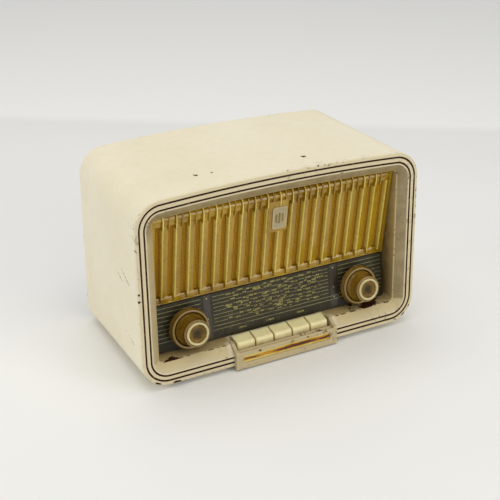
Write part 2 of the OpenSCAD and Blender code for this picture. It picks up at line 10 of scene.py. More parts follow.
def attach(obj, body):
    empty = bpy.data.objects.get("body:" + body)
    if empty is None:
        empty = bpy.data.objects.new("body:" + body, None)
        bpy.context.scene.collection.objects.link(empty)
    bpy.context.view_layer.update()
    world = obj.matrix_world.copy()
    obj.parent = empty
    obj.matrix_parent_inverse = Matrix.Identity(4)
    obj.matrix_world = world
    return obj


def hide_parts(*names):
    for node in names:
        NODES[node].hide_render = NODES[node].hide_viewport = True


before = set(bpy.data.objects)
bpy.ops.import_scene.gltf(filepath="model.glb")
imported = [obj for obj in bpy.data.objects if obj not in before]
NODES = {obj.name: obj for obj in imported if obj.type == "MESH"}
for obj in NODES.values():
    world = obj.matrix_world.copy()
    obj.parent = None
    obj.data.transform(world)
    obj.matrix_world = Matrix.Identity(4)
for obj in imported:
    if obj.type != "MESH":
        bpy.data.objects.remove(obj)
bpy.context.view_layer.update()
RNG = random.Random(7)

# ---------------------------------------------------------------- sizes, mm, as in the CAD
LEAN = 3.0                  # the front frame leans back, degrees
FRONT_Y = -75.4             # foot of the leaning frame
FOOT_H = 4.0                # gap under the shell
DROP = 4.3                  # the frame hangs this far below the shell
HALF_W = 147.0              # front frame
FRAME_TOP = 177.0
CROWN = 3.6                 # rise of its top edge in the middle
FRAME_CORNER, REAR_CORNER = 26.0, 14.0
TOP_INSET = 1.07            # lines near the top edge close up a little more than at the sides
REAR_HALF_W = 140.0         # rear edge of the shell
REAR_Y = 79.5
REAR_TOP = 186.0
REAR_CROWN = 3.2
COVER_Y = 74.0              # face that the back cover lies against
WALL = 3.5
OPEN_W, OPEN_B, OPEN_T = 127.5, 16.0, 156.5    # front opening: half width, bottom, top
OPEN_CORNER, OPEN_CROWN = 4.0, 3.0
GROOVES = (137.3, 142.0)    # half widths where the two dark grooves start
GROOVE_W, GROOVE_DEEP = 1.75, 0.55
GRILLE_HALF = 127.0
RIBS, RIB_PITCH, RIB_W = 20, 13.1, 7.4
CLOTH_W, CLOTH_H = 253.6, 93.6
GLASS_Y = -5.0              # front of the dial glass in its own frame
GLASS_THICK = 3.0
LADDER_X = 69.0             # dark upright bands between the side ladders and the names
BADGE_X, BADGE_Z = 3.0, 66.5
KNOB_X, KNOB_Z = 92.4, 21.7
KEY_PITCH, KEY_HALF = 20.0, 9.55
SURROUND_HALF, CHEEK = 55.2, 3.45    # key surround: half width, thickness of its end walls
MM = 0.001

METRES = Matrix.Scale(MM, 4)


def shift(x, y, z):
    return Matrix.Translation((x, y, z))


def turn(degrees, axis):
    return Matrix.Rotation(math.radians(degrees), 4, axis)


# working frames, each to the row frame: the leaning face, the grille, the dial
ROW = Matrix.Identity(4)
FRONT = shift(0, FRONT_Y, FOOT_H) @ turn(-LEAN, "X") @ shift(0, 0, DROP)
SLOPE = FRONT @ shift(0, 31.8, 62.5) @ turn(8.7, "X")
DIAL = FRONT @ shift(0, 27, 15) @ turn(-6.8, "X")


def knob_axis(x):
    """Frame on a knob's axis: +Z out of the dial, zero at the glass face."""
    return DIAL @ shift(x, 0, KNOB_Z) @ turn(90, "X")


# ---------------------------------------------------------------- camera
AZIMUTH, ELEVATION, ROLL = -28.4, 22.9, -1.06    # degrees, seen from the face's own frame
AIM = (-4.5, 60.0, 80.7)                         # mm
DISTANCE = 1055.8                                # mm
LENS, SENSOR = 78.79, 36.0


def make_camera():
    """Camera set in the frame of the radio's face, then leaned back with it."""
    azimuth, elevation, roll = (math.radians(a) for a in (AZIMUTH, ELEVATION, ROLL))
    target = Vector(AIM)
    back = Vector((math.sin(azimuth) * math.cos(elevation),
                   -math.cos(azimuth) * math.cos(elevation), math.sin(elevation)))
    right = (-back).cross(Vector((0, 0, 1))).normalized()
    up = right.cross(-back)
    right_r = math.cos(roll) * right + math.sin(roll) * up
    up_r = -math.sin(roll) * right + math.cos(roll) * up
    place = Matrix.Identity(4)
    for i in range(3):
        place[i][0], place[i][1], place[i][2] = right_r[i], up_r[i], back[i]
        place[i][3] = target[i] + back[i] * DISTANCE
    place = FRONT @ place
    data = bpy.data.cameras.new("camera")
    data.lens = LENS
    data.sensor_width = SENSOR
    data.clip_end = 20.0
    cam = bpy.data.objects.new("camera", data)
    bpy.context.scene.collection.objects.link(cam)
    rotation = place.to_3x3().to_4x4()
    cam.matrix_world = Matrix.Translation(place.translation * MM) @ rotation
    bpy.context.scene.camera = cam


make_camera()


# ---------------------------------------------------------------- materials
class Nodes:
    """Short hand for a material's node tree."""

    def __init__(self, name):
        self.mat = bpy.data.materials.new(name)
        self.mat.use_nodes = True
        self.tree = self.mat.node_tree
        self.tree.nodes.clear()
        self.out = self.add("ShaderNodeOutputMaterial")
        self.shader = self.add("ShaderNodeBsdfPrincipled")
        self.link(self.shader.outputs[0], self.out.inputs["Surface"])
        self.coords = self.add("ShaderNodeTexCoord").outputs["Object"]

    def add(self, kind, **values):
        node = self.tree.nodes.new(kind)
        for key, value in values.items():
            setattr(node, key, value)
        return node

    def link(self, a, b):
        self.tree.links.new(a, b)

    def put(self, socket, value):
        if hasattr(value, "is_output"):
            self.link(value, socket)
        else:
            socket.default_value = value

    def set(self, **values):
        for key, value in values.items():
            self.put(self.shader.inputs[key.replace("_", " ")], value)

    def scaled(self, sx, sy, sz, loc=(0, 0, 0), rot=(0, 0, 0)):
        node = self.add("ShaderNodeMapping")
        self.link(self.coords, node.inputs["Vector"])
        node.inputs["Scale"].default_value = (sx, sy, sz)
        node.inputs["Location"].default_value = loc
        node.inputs["Rotation"].default_value = rot
        return node.outputs[0]

    def noise(self, scale, detail=4.0, rough=0.55, vector=None, distortion=0.0):
        node = self.add("ShaderNodeTexNoise")
        self.link(vector or self.coords, node.inputs["Vector"])
        node.inputs["Scale"].default_value = scale
        node.inputs["Detail"].default_value = detail
        node.inputs["Roughness"].default_value = rough
        node.inputs["Distortion"].default_value = distortion
        return node.outputs["Fac"]

    def cells(self, scale):
        node = self.add("ShaderNodeTexVoronoi")
        self.link(self.coords, node.inputs["Vector"])
        node.inputs["Scale"].default_value = scale
        return node.outputs["Distance"]

    def ramp(self, value, low, high, to_low=0.0, to_high=1.0):
        node = self.add("ShaderNodeMapRange")
        node.inputs["From Min"].default_value = low
        node.inputs["From Max"].default_value = high
        node.inputs["To Min"].default_value = to_low
        node.inputs["To Max"].default_value = to_high
        self.link(value, node.inputs["Value"])
        return node.outputs[0]

    def patchy(self, noise, *limits):
        """A ramp over a noise; noise holds its arguments."""
        return self.ramp(self.noise(*noise), *limits)

    def math(self, op, a, b=0.0):
        node = self.add("ShaderNodeMath", operation=op)
        self.put(node.inputs[0], a)
        self.put(node.inputs[1], b)
        return node.outputs[0]

    def times(self, a, b):
        return self.math("MULTIPLY", a, b)

    def most(self, a, b):
        return self.math("MAXIMUM", a, b)

    def mix(self, factor, a, b):
        node = self.add("ShaderNodeMix", data_type="RGBA")
        self.put(node.inputs["Factor"], factor)
        for socket, value in ((node.inputs[6], a), (node.inputs[7], b)):
            self.put(socket, (*value, 1.0) if isinstance(value, tuple) and len(value) == 3 else value)
        return node.outputs[2]

    def bump(self, height, strength, distance, normal=None):
        node = self.add("ShaderNodeBump")
        self.link(height, node.inputs["Height"])
        node.inputs["Strength"].default_value = strength
        node.inputs["Distance"].default_value = distance
        if normal:
            self.link(normal, node.inputs["Normal"])
        return node.outputs[0]

    def finish(self, height, strength, distance, **values):
        """Sets the shader, with a bump, and gives the material."""
        self.set(Normal=self.bump(height, strength, distance), **values)
        return self.mat

    def attribute(self, name):
        return self.add("ShaderNodeAttribute", attribute_name=name).outputs["Fac"]

    def separate(self):
        node = self.add("ShaderNodeSeparateXYZ")
        self.link(self.coords, node.inputs[0])
        return node.outputs

    def near(self, point, radius, ragged=0.5):
        """1 inside a ragged spot round a point of the row frame, in metres."""
        away = self.add("ShaderNodeVectorMath", operation="DISTANCE")
        self.link(self.coords, away.inputs[0])
        away.inputs[1].default_value = point
        wobble = self.patchy((900.0, 2.0), 0.3, 0.7, -ragged * radius, ragged * radius)
        return self.ramp(self.math("ADD", away.outputs["Value"], wobble), radius, radius * 0.8)

    def vector_math(self, op, a, b, out="Vector"):
        node = self.add("ShaderNodeVectorMath", operation=op)
        self.put(node.inputs[0], a)
        self.put(node.inputs[1], b)
        return node.outputs[out]

    def scratch(self, start, end, radius):
        """1 along a hairline on the left side, between two (y, z) points of the row frame, in metres."""
        here = self.scaled(FLATTEN, 1.0, 1.0)
        first = Vector((-HALF_W * MM * FLATTEN, *start))
        way = Vector((-HALF_W * MM * FLATTEN, *end)) - first
        off = self.vector_math("SUBTRACT", here, tuple(first))
        along = self.vector_math("DOT_PRODUCT", off, tuple(way / way.length_squared), "Value")
        node = self.add("ShaderNodeVectorMath", operation="SCALE")
        node.inputs[0].default_value = way
        self.link(self.ramp(along, 0.0, 1.0), node.inputs["Scale"])
        away = self.vector_math("DISTANCE", off, node.outputs[0], "Value")
        wobble = self.patchy((500.0, 3.0), 0.3, 0.7, -radius, radius)
        return self.ramp(self.math("ADD", away, wobble), radius, radius * 0.6)


def linear(r, g, b):
    """sRGB 0-255 to the linear colour that a shader takes."""
    def one(c):
        c /= 255.0
        return c / 12.92 if c <= 0.04045 else ((c + 0.055) / 1.055) ** 2.4
    return (one(r), one(g), one(b))


CREAM = linear(240, 232, 206)
CREAM_OLD = linear(228, 214, 176)
BARE = linear(62, 34, 18)
GROOVE_BROWN = linear(58, 30, 14)
FLATTEN = 0.2       # a hairline's distance counts only this much of x, so that it follows the curved side


def paint_material(name, chips, scratches=()):
    """Cream paint on dark moulding: yellowed patches, fine specks, scratches, worn edges, and painted shade
    where the attributes give it.
    """
    n = Nodes(name)
    aged = n.patchy((9.0, 3.0), 0.35, 0.75)
    mottle = n.patchy((140.0, 5.0, 0.65), 0.35, 0.7, 0.0, 0.35)
    colour = n.mix(n.times(aged, 0.55), CREAM, CREAM_OLD)
    colour = n.mix(n.times(mottle, 0.5), colour, linear(214, 203, 170))
    # darkened yellow tone: partly soiling, and on the cabinet also painted shade on the front face and bevel,
    # and a painted reflection of the gold parts inside the opening
    grime_and_shade = n.times(n.attribute("grime_and_shade"), n.patchy((60.0, 5.0, 0.7), 0.25, 0.7, 0.8, 1.0))
    colour = n.mix(grime_and_shade, colour, linear(205, 182, 122))
    # painted shade: where the attribute asks, the paint turns towards a deep olive brown, a little unevenly
    painted_shade = n.times(n.attribute("painted_shade"), n.patchy((90.0, 5.0, 0.7), 0.3, 0.65, 0.7, 1.0))
    colour = n.mix(painted_shade, colour, linear(92, 68, 26))
    specks = n.ramp(n.cells(150.0), 0.05, 0.02)
    specks = n.times(specks, n.patchy((34.0, 2.0), 0.56, 0.64))
    long_way = n.scaled(14.0, 30.0, 4.0, rot=(0.3, 0.5, 0.9))
    drift = n.noise(9.0, 2.0, 0.5, long_way, 1.2)
    scratch = n.times(n.ramp(drift, 0.4985, 0.5), n.ramp(drift, 0.5015, 0.5))
    scratch = n.times(scratch, n.patchy((17.0, 2.0), 0.60, 0.68))
    ragged = n.patchy((210.0, 6.0, 0.72), 0.57, 0.60)
    worn = n.times(n.attribute("edge"), ragged)
    worn = n.times(worn, n.patchy((26.0, 3.0), 0.47, 0.56))
    flaked = n.math("ADD", n.times(n.attribute("bare"), 0.5), n.noise(75.0, 7.0, 0.7))
    worn = n.most(worn, n.ramp(flaked, 0.80, 0.83))
    mask = n.most(worn, n.times(scratch, 0.7))
    mask = n.most(mask, n.times(specks, 0.8))
    for point, radius in chips:
        mask = n.most(mask, n.near(point, radius))
    for start, end, radius in scratches:
        mask = n.most(mask, n.times(n.scratch(start, end, radius), 0.85))
    colour = n.mix(mask, colour, BARE)
    rough = n.math("ADD", n.patchy((45.0, 4.0), 0.3, 0.7, 0.34, 0.48), n.times(mask, 0.4))
    peel = n.bump(n.noise(420.0, 2.0), 0.06, 0.0004)
    n.set(Base_Color=colour, Roughness=rough, Specular_IOR_Level=n.ramp(mask, 0.0, 1.0, 0.5, 0.1),
          Normal=n.bump(n.math("SUBTRACT", 1.0, mask), 0.5, 0.0003, peel))
    return n.mat


def groove_material():
    """Dark brown line, partly rubbed away."""
    n = Nodes("groove_paint")
    lost = n.patchy((120.0, 4.0), 0.62, 0.7)
    n.set(Base_Color=n.mix(lost, GROOVE_BROWN, linear(120, 100, 72)), Roughness=0.85, Specular_IOR_Level=0.2)
    return n.mat


def gold_plastic(name, deep, bright, rough=0.28, darken=0.5):
    """Gold-brown moulding with flow marks, dull haze, dust in the corners and, where the attribute rim is
    set, a painted beige highlight.
    """
    n = Nodes(name)
    flow = n.patchy((60.0, 3.0, 0.5, n.scaled(1.0, 1.0, 0.15)), 0.3, 0.7)
    colour = n.mix(flow, deep, bright)
    dust = n.times(n.patchy((240.0, 5.0, 0.7), 0.5, 0.72), darken)
    colour = n.mix(dust, colour, linear(92, 66, 28))
    # painted highlight: beige where the attribute rim is set
    colour = n.mix(n.attribute("rim"), colour, linear(172, 148, 96))
    haze = n.patchy((90.0, 4.0), 0.3, 0.75, rough - 0.06, rough + 0.14)
    return n.finish(n.noise(500.0, 2.0), 0.05, 0.0003,
                    Base_Color=colour, Roughness=haze, IOR=1.49, Coat_Weight=0.35, Coat_Roughness=0.12)


def cloth_material():
    """Coarse woven loudspeaker cloth in orange and gold."""
    n = Nodes("speaker_cloth")
    warp = n.add("ShaderNodeTexWave", wave_type="BANDS", bands_direction="X")
    weft = n.add("ShaderNodeTexWave", wave_type="BANDS", bands_direction="Z")
    for wave in (warp, weft):
        n.link(n.coords, wave.inputs["Vector"])
        wave.inputs["Scale"].default_value = 220.0
        wave.inputs["Distortion"].default_value = 1.4
        wave.inputs["Detail"].default_value = 1.0
        wave.inputs["Detail Scale"].default_value = 2.0
    over = n.times(warp.outputs["Fac"], weft.outputs["Fac"])
    colour = n.mix(n.ramp(over, 0.05, 0.6), linear(136, 92, 0), linear(240, 188, 2))
    slub = n.patchy((70.0, 3.0, 0.6, n.scaled(1.0, 1.0, 0.12)), 0.4, 0.7)
    colour = n.mix(n.times(slub, 0.4), colour, linear(196, 128, 4))
    return n.finish(over, 0.55, 0.0004,
                    Base_Color=colour, Roughness=0.8)


def dial_material():
    """Dark back print behind glass, with dust."""
    n = Nodes("dial_back_print")
    cloud = n.patchy((30.0, 4.0), 0.3, 0.7)
    colour = n.mix(cloud, linear(44, 40, 27), linear(60, 54, 37))
    dust = n.times(n.patchy((300.0, 6.0, 0.75), 0.52, 0.7), 0.35)
    colour = n.mix(dust, colour, linear(120, 112, 84))
    return n.finish(n.noise(25.0, 1.0), 0.02, 0.0005,
                    Base_Color=colour, Roughness=n.patchy((80.0, 4.0), 0.3, 0.7, 0.3, 0.5),
                    Specular_IOR_Level=0.3)


def print_material(name, ink, faint):
    """Printed ink, unevenly faded."""
    n = Nodes(name)
    faded = n.patchy((130.0, 4.0, 0.6), 0.35, 0.72)
    n.set(Base_Color=n.mix(faded, ink, faint), Roughness=0.35, Coat_Weight=0.3, Coat_Roughness=0.12)
    return n.mat


def ivory_material(name, base, dirt_colour):
    """Ivory moulding, polished on top, dirty down its flanks."""
    n = Nodes(name)
    tone = n.patchy((70.0, 3.0), 0.3, 0.7)
    colour = n.mix(tone, base, tuple(c * 0.9 for c in base))
    low = n.times(n.attribute("grime_and_shade"), n.patchy((160.0, 4.0, 0.7), 0.2, 0.65))
    colour = n.mix(low, colour, dirt_colour)
    fleck = n.times(n.patchy((420.0, 5.0, 0.7), 0.66, 0.74), 0.5)
    colour = n.mix(fleck, colour, dirt_colour)
    return n.finish(n.noise(330.0, 2.0), 0.05, 0.0003,
                    Base_Color=colour, Roughness=n.patchy((110.0, 3.0), 0.3, 0.7, 0.26, 0.4),
                    Subsurface_Weight=0.15, Subsurface_Radius=(0.004, 0.003, 0.001), Subsurface_Scale=0.4,
                    Coat_Weight=0.3, Coat_Roughness=0.15)


def strip_material():
    """Gold foil strip: pale yellow margin, orange gold, worn through to brown."""
    n = Nodes("key_strip")
    patch = n.noise(46.0, 6.0, 0.68, n.scaled(0.6, 1.0, 2.6, loc=(0.4, 0.0, 0.1)), 0.8)
    height = n.separate()["Z"]
    off_middle = n.math("ABSOLUTE", n.math("SUBTRACT", height, 0.011))
    core = n.math("SUBTRACT", n.ramp(off_middle, 0.0, 0.0036, 0.32, -0.08),
                  n.times(n.math("SUBTRACT", 0.5, patch), 0.8))
    colour = n.mix(n.ramp(core, 0.04, 0.08), linear(222, 208, 118), linear(206, 142, 20))
    colour = n.mix(n.ramp(core, 0.20, 0.23), colour, linear(78, 40, 22))
    return n.finish(patch, 0.3, 0.0004,
                    Base_Color=colour, Roughness=n.ramp(patch, 0.4, 0.6, 0.3, 0.6), Metallic=0.1)


def metal_material(name, colour, rough=0.35, metallic=1.0, tarnish=0.35, brushed=(1, 1, 1)):
    """Sheet or turned metal with brushing, tarnish and dust."""
    n = Nodes(name)
    grain = n.noise(260.0, 4.0, 0.6, n.scaled(*brushed))
    stain = n.times(n.patchy((45.0, 5.0, 0.65), 0.45, 0.7), tarnish)
    return n.finish(grain, 0.08, 0.0003,
                    Base_Color=n.mix(stain, colour, tuple(c * 0.42 for c in colour)), Metallic=metallic,
                    Roughness=n.ramp(grain, 0.3, 0.7, rough - 0.08, rough + 0.12))


def moulded_material(name, colour, rough=0.5):
    """Swirled, speckled moulding."""
    n = Nodes(name)
    swirl = n.noise(80.0, 5.0, 0.65, None, 1.0)
    speck = n.times(n.ramp(swirl, 0.4, 0.65), 0.4)
    tone = n.mix(speck, colour, tuple(c * 0.5 for c in colour))
    return n.finish(n.noise(600.0, 3.0), 0.12, 0.0003,
                    Base_Color=tone, Roughness=n.ramp(swirl, 0.3, 0.7, rough - 0.08, rough + 0.1))


def board_material(name, light, dark):
    """Pressed fibre board: long random fibres and a mesh mark."""
    n = Nodes(name)
    fibre = n.noise(330.0, 6.0, 0.75, n.scaled(1.0, 1.0, 0.25, rot=(0, 0.4, 0)))
    fibre2 = n.noise(260.0, 5.0, 0.7, n.scaled(0.25, 1.0, 1.0, rot=(0, 0.5, 0)))
    both = n.times(fibre, fibre2)
    colour = n.mix(n.ramp(both, 0.14, 0.38), dark, light)
    stain = n.times(n.patchy((12.0, 4.0), 0.5, 0.7), 0.3)
    return n.finish(both, 0.35, 0.0005,
                    Base_Color=n.mix(stain, colour, tuple(c * 0.6 for c in dark)), Roughness=0.78)


def glass_material(name, tint):
    """Clear glass with a film of dust and a smoky patch."""
    n = Nodes(name)
    film = n.patchy((60.0, 4.0), 0.35, 0.75, 0.03, 0.15)
    recess_shade = n.patchy((35.0, 3.0), 0.45, 0.7)
    n.set(Base_Color=n.mix(recess_shade, tint, tuple(c * 0.8 for c in tint)), Roughness=film,
          Transmission_Weight=0.95, IOR=1.48)
    return n.mat


FLOOR_BACK = (0.5248, 0.8513, 0.0)    # unit vector over the floor, towards the rear right
FLOOR_LINE = 0.61                     # metres that way to the line where the paper gets lighter


def floor_material():
    """Pale flat paper with painted light: it dims a little towards the line and is painted lightest past it,
    where the real paper rises.
    """
    n = Nodes("floor_paper")
    tone = n.patchy((3.0, 2.0), 0.3, 0.7)
    depth = n.vector_math("DOT_PRODUCT", n.coords, FLOOR_BACK, "Value")
    colour = n.mix(tone, linear(242, 242, 240), linear(245, 245, 243))
    # painted shade towards the line, then painted light past it
    dim = n.ramp(depth, 0.15, FLOOR_LINE - 0.01, 0.0, 0.55)
    colour = n.mix(dim, colour, linear(238, 238, 235))
    colour = n.mix(n.ramp(depth, FLOOR_LINE - 0.015, FLOOR_LINE + 0.015), colour, linear(250, 250, 248))
    return n.finish(n.noise(90.0, 3.0), 0.02, 0.0005,
                    Base_Color=colour, Roughness=0.6)


# ---------------------------------------------------------------- mesh helpers
def lay(name, verts, faces, place, material, smooth=True, attributes=None, picks=None):
    """A mesh object from millimetre points in a working frame, put into the row frame."""
    mesh = bpy.data.meshes.new(name)
    to_row = METRES @ place
    mesh.from_pydata([to_row @ Vector(v) for v in verts], [], faces)
    mesh.update()
    for one in material if isinstance(material, (list, tuple)) else [material]:
        mesh.materials.append(one)
    if picks:
        mesh.polygons.foreach_set("material_index", picks)
    for key, values in (attributes or {}).items():
        layer = mesh.attributes.new(key, "FLOAT", "POINT")
        layer.data.foreach_set("value", values)
    work = bmesh.new()
    work.from_mesh(mesh)
    bmesh.ops.recalc_face_normals(work, faces=work.faces)
    work.to_mesh(mesh)
    work.free()
    mesh.polygons.foreach_set("use_smooth", [smooth] * len(mesh.polygons))
    obj = bpy.data.objects.new(name, mesh)
    bpy.context.scene.collection.objects.link(obj)
    return obj


class Pile:
    """Collects many solids into one mesh."""

    def __init__(self):
        self.verts = []
        self.faces = []
        self.picks = []

    def add(self, verts, faces, picks=None):
        base = len(self.verts)
        self.verts += list(verts)
        self.faces += [tuple(base + i for i in f) for f in faces]
        self.picks += picks or [0] * len(faces)

    def prism(self, outline, lo, hi, axis="y", bright=()):
        """Outline of two-coordinate points drawn from lo to hi; bright names sides of the second material."""
        def at(p, t):
            return {"x": (t, p[0], p[1]), "y": (p[0], t, p[1]), "z": (p[0], p[1], t)}[axis]
        count = len(outline)
        verts = [at(p, lo) for p in outline] + [at(p, hi) for p in outline]
        faces = [tuple(range(count)), tuple(range(2 * count - 1, count - 1, -1))]
        faces += [(i, (i + 1) % count, count + (i + 1) % count, count + i) for i in range(count)]
        self.add(verts, faces, [0, 0] + [1 if i in bright else 0 for i in range(count)])

    def lay(self, name, place, *materials, smooth=False):
        return lay(name, self.verts, self.faces, place, materials, smooth=smooth,
                   picks=self.picks if len(materials) > 1 else None)

    def block(self, x0, x1, y0, y1, z0, z1):
        self.prism([(x0, z0), (x1, z0), (x1, z1), (x0, z1)], y0, y1)

    def flat(self, x0, x1, z0, z1, y):
        self.add([(x0, y, z0), (x1, y, z0), (x1, y, z1), (x0, y, z1)], [(0, 1, 2, 3)])


def arc(cx, cz, r, a0, a1, steps):
    """Points (x, z) along an arc from a0 to a1 degrees."""
    return [(cx + r * math.cos(math.radians(a0 + (a1 - a0) * i / steps)),
             cz + r * math.sin(math.radians(a0 + (a1 - a0) * i / steps))) for i in range(steps + 1)]


def outline(w, zb, zt, rt, rb, sag):
    """Rounded outline with a crowned top, always the same number of points."""
    corner, side, wide = 10, 10, 32
    right = w - rt
    ts = [i / wide for i in range(1, wide)]
    points = [(-(w - rb) + 2 * (w - rb) * t, zb) for t in ts]
    points += arc(w - rb, zb + rb, rb, -90, 0, corner)
    z0, z1 = zb + rb, zt - sag - rt
    points += [(w, z0 + (z1 - z0) * i / side) for i in range(1, side)]
    points += arc(w - rt, zt - sag - rt, rt, 0, 90, corner)
    points += [(right * (1 - 2 * t), zt - sag * (1 - 2 * t) ** 2) for t in ts]
    points += arc(rt - w, zt - sag - rt, rt, 90, 180, corner)
    points += [(-w, z1 - (z1 - z0) * i / side) for i in range(1, side)]
    points += arc(rb - w, zb + rb, rb, 180, 270, corner)
    return points


def on_front(points, y):
    return [FRONT @ Vector((x, y, z)) for x, z in points]


def on_row(points, y):
    return [Vector((x, y, z)) for x, z in points]


def loft(rings, closed=False):
    """Quads between rings of equal length; closed joins the last ring to the first."""
    count = len(rings[0])
    verts = [p for ring in rings for p in ring]
    faces = []
    for k in range(len(rings) if closed else len(rings) - 1):
        a, b = k * count, ((k + 1) % len(rings)) * count
        faces += [(a + i, a + (i + 1) % count, b + (i + 1) % count, b + i) for i in range(count)]
    return verts, faces


def grid_faces(nx, ny):
    row = nx + 1
    return [(j * row + i, j * row + i + 1, (j + 1) * row + i + 1, (j + 1) * row + i)
            for j in range(ny) for i in range(nx)]


def lathe(profile, steps=96):
    """Closed (r, z) profile turned about Z."""
    verts, faces = [], []
    count = len(profile)
    for s in range(steps):
        a = 2 * math.pi * s / steps
        verts += [(r * math.cos(a), r * math.sin(a), z) for r, z in profile]
    for s in range(steps):
        a, b = s * count, ((s + 1) % steps) * count
        faces += [(a + i, a + (i + 1) % count, b + (i + 1) % count, b + i) for i in range(count)]
    return verts, faces


def tidy(obj, distance=0.00001):
    """Joins doubled points, such as those on a lathe's axis."""
    work = bmesh.new()
    work.from_mesh(obj.data)
    bmesh.ops.remove_doubles(work, verts=work.verts, dist=distance)
    bmesh.ops.dissolve_degenerate(work, edges=work.edges, dist=distance)
    bmesh.ops.recalc_face_normals(work, faces=work.faces)
    work.to_mesh(obj.data)
    work.free()
    return obj


def rounded(obj, width, segments=2, angle=35):
    """Bevelled edges, kept as a modifier, with normals that follow the flat faces."""
    bevel = obj.modifiers.new("edges", "BEVEL")
    bevel.width = width * MM
    bevel.segments = segments
    bevel.limit_method = "ANGLE"
    bevel.angle_limit = math.radians(angle)
    bevel.harden_normals = True


def carve(obj, *cutters):
    """Cuts the closed cutters out of obj for good."""
    for cutter in cutters:
        cut = obj.modifiers.new("cut", "BOOLEAN")
        cut.operation = "DIFFERENCE"
        cut.solver = "EXACT"
        cut.object = cutter
    seen = bpy.context.evaluated_depsgraph_get()
    mesh = bpy.data.meshes.new_from_object(obj.evaluated_get(seen), depsgraph=seen)
    obj.modifiers.clear()
    obj.data = mesh
    for cutter in cutters:
        bpy.data.objects.remove(cutter)


def piece(obj, body, *nodes, slot=None):
    """Says which body a finished piece moves with, and which nodes it stands for."""
    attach(obj, body)
    if nodes:
        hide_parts(*nodes)


# ---------------------------------------------------------------- cabinet
def face_outline(w):
    """Outline on the front frame at half-width w."""
    inset = HALF_W - w
    corner = FRAME_CORNER - inset
    return outline(w, -DROP + inset + 0.8 * min(1.0, inset / 3.5), FRAME_TOP - TOP_INSET * inset,
                   corner, corner, CROWN)


def rear_outline(g):
    """Outline of the shell's rear edge, g inside it."""
    return outline(REAR_HALF_W - g, FOOT_H + g, REAR_TOP - g, FRAME_CORNER - g, max(REAR_CORNER - g, 2),
                   REAR_CROWN)


def opening(g):
    """Outline of the front opening, g outside it."""
    corner = OPEN_CORNER + max(g, 0)
    return outline(OPEN_W + g, OPEN_B - g, OPEN_T + g, corner, corner, OPEN_CROWN)


